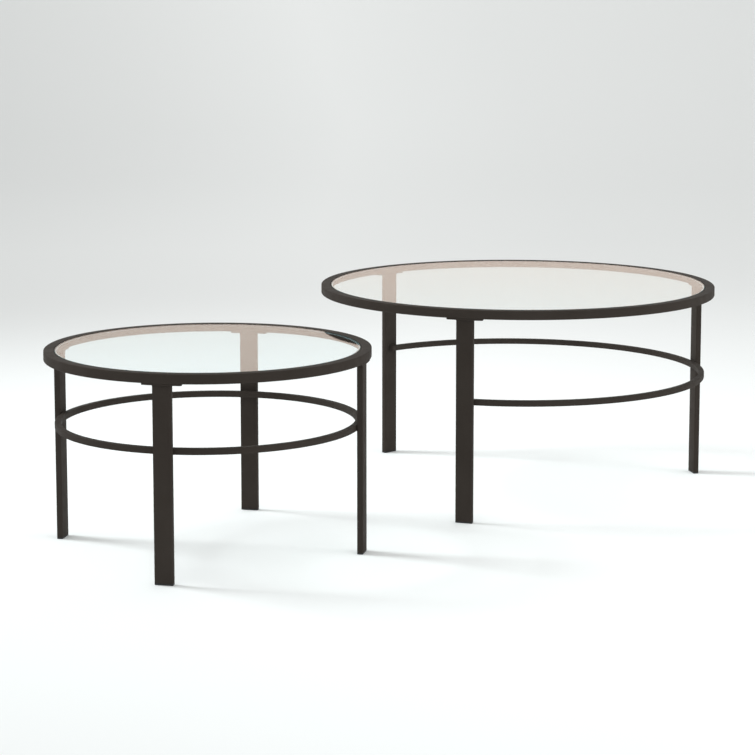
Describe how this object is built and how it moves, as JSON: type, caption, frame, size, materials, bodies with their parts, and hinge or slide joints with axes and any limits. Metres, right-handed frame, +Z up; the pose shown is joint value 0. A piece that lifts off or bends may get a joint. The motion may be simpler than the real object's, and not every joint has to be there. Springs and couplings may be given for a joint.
{
  "type": "nesting table set",
  "caption": "Round nesting tables: inset glass tops in dark metal ring frames on flat legs with curved lower stretchers; the smaller is pushed in under the larger.",
  "frame": {"origin": "floor level, in the middle of the outline of both tables as they stand side by side", "axes": "+X is the direction in which the small table enters the open side of the large one, +Z is up"},
  "size_m": [1.5843, 1.2567, 0.47],
  "materials": {
    "powder_coat": "satin dark bronze powder coat with a very fine texture",
    "clear_glass": "clear tempered glass, ground edge",
    "clear_silicone": "clear, soft",
    "black_plastic": "fine moulded",
    "zinc_steel": "zinc plated",
    "black_screw": "black oxide"
  },
  "bodies": {
    "large_table": {"large_top_ring": "powder_coat", "large_glass_ledge": "powder_coat", "large_glass_gasket": "clear_silicone", "large_glass_top": "clear_glass", "large_leg_1": "powder_coat", "large_leg_2": "powder_coat", "large_leg_3": "powder_coat", "large_leg_plate_1": "powder_coat", "large_leg_plate_2": "powder_coat", "large_leg_plate_3": "powder_coat", "large_foot_1": "black_plastic", "large_foot_2": "black_plastic", "large_foot_3": "black_plastic", "large_plate_screw_1": "black_screw", "large_plate_screw_2": "black_screw", "large_plate_screw_3": "black_screw", "large_plate_screw_4": "black_screw", "large_plate_screw_5": "black_screw", "large_plate_screw_6": "black_screw", "large_ring_nut_1": "zinc_steel", "large_ring_nut_2": "zinc_steel", "large_ring_nut_3": "zinc_steel", "large_ring_nut_4": "zinc_steel", "large_ring_nut_5": "zinc_steel", "large_ring_nut_6": "zinc_steel", "large_stretcher": "powder_coat"},
    "small_table": {"small_top_ring": "powder_coat", "small_glass_ledge": "powder_coat", "small_glass_gasket": "clear_silicone", "small_glass_top": "clear_glass", "small_leg_1": "powder_coat", "small_leg_2": "powder_coat", "small_leg_3": "powder_coat", "small_leg_4": "powder_coat", "small_leg_plate_1": "powder_coat", "small_leg_plate_2": "powder_coat", "small_leg_plate_3": "powder_coat", "small_leg_plate_4": "powder_coat", "small_foot_1": "black_plastic", "small_foot_2": "black_plastic", "small_foot_3": "black_plastic", "small_foot_4": "black_plastic", "small_plate_screw_1": "black_screw", "small_plate_screw_2": "black_screw", "small_plate_screw_3": "black_screw", "small_plate_screw_4": "black_screw", "small_plate_screw_5": "black_screw", "small_plate_screw_6": "black_screw", "small_plate_screw_7": "black_screw", "small_plate_screw_8": "black_screw", "small_ring_nut_1": "zinc_steel", "small_ring_nut_2": "zinc_steel", "small_ring_nut_3": "zinc_steel", "small_ring_nut_4": "zinc_steel", "small_ring_nut_5": "zinc_steel", "small_ring_nut_6": "zinc_steel", "small_ring_nut_7": "zinc_steel", "small_ring_nut_8": "zinc_steel", "small_stretcher": "powder_coat"}
  },
  "joints": [
    {"name": "nest_swing", "type": "hinge", "parent": "large_table", "child": "small_table", "pos_m": [0.21037, -0.52122, 0], "axis": [0, 0, -1], "range_deg": [0, 81]}
  ]
}
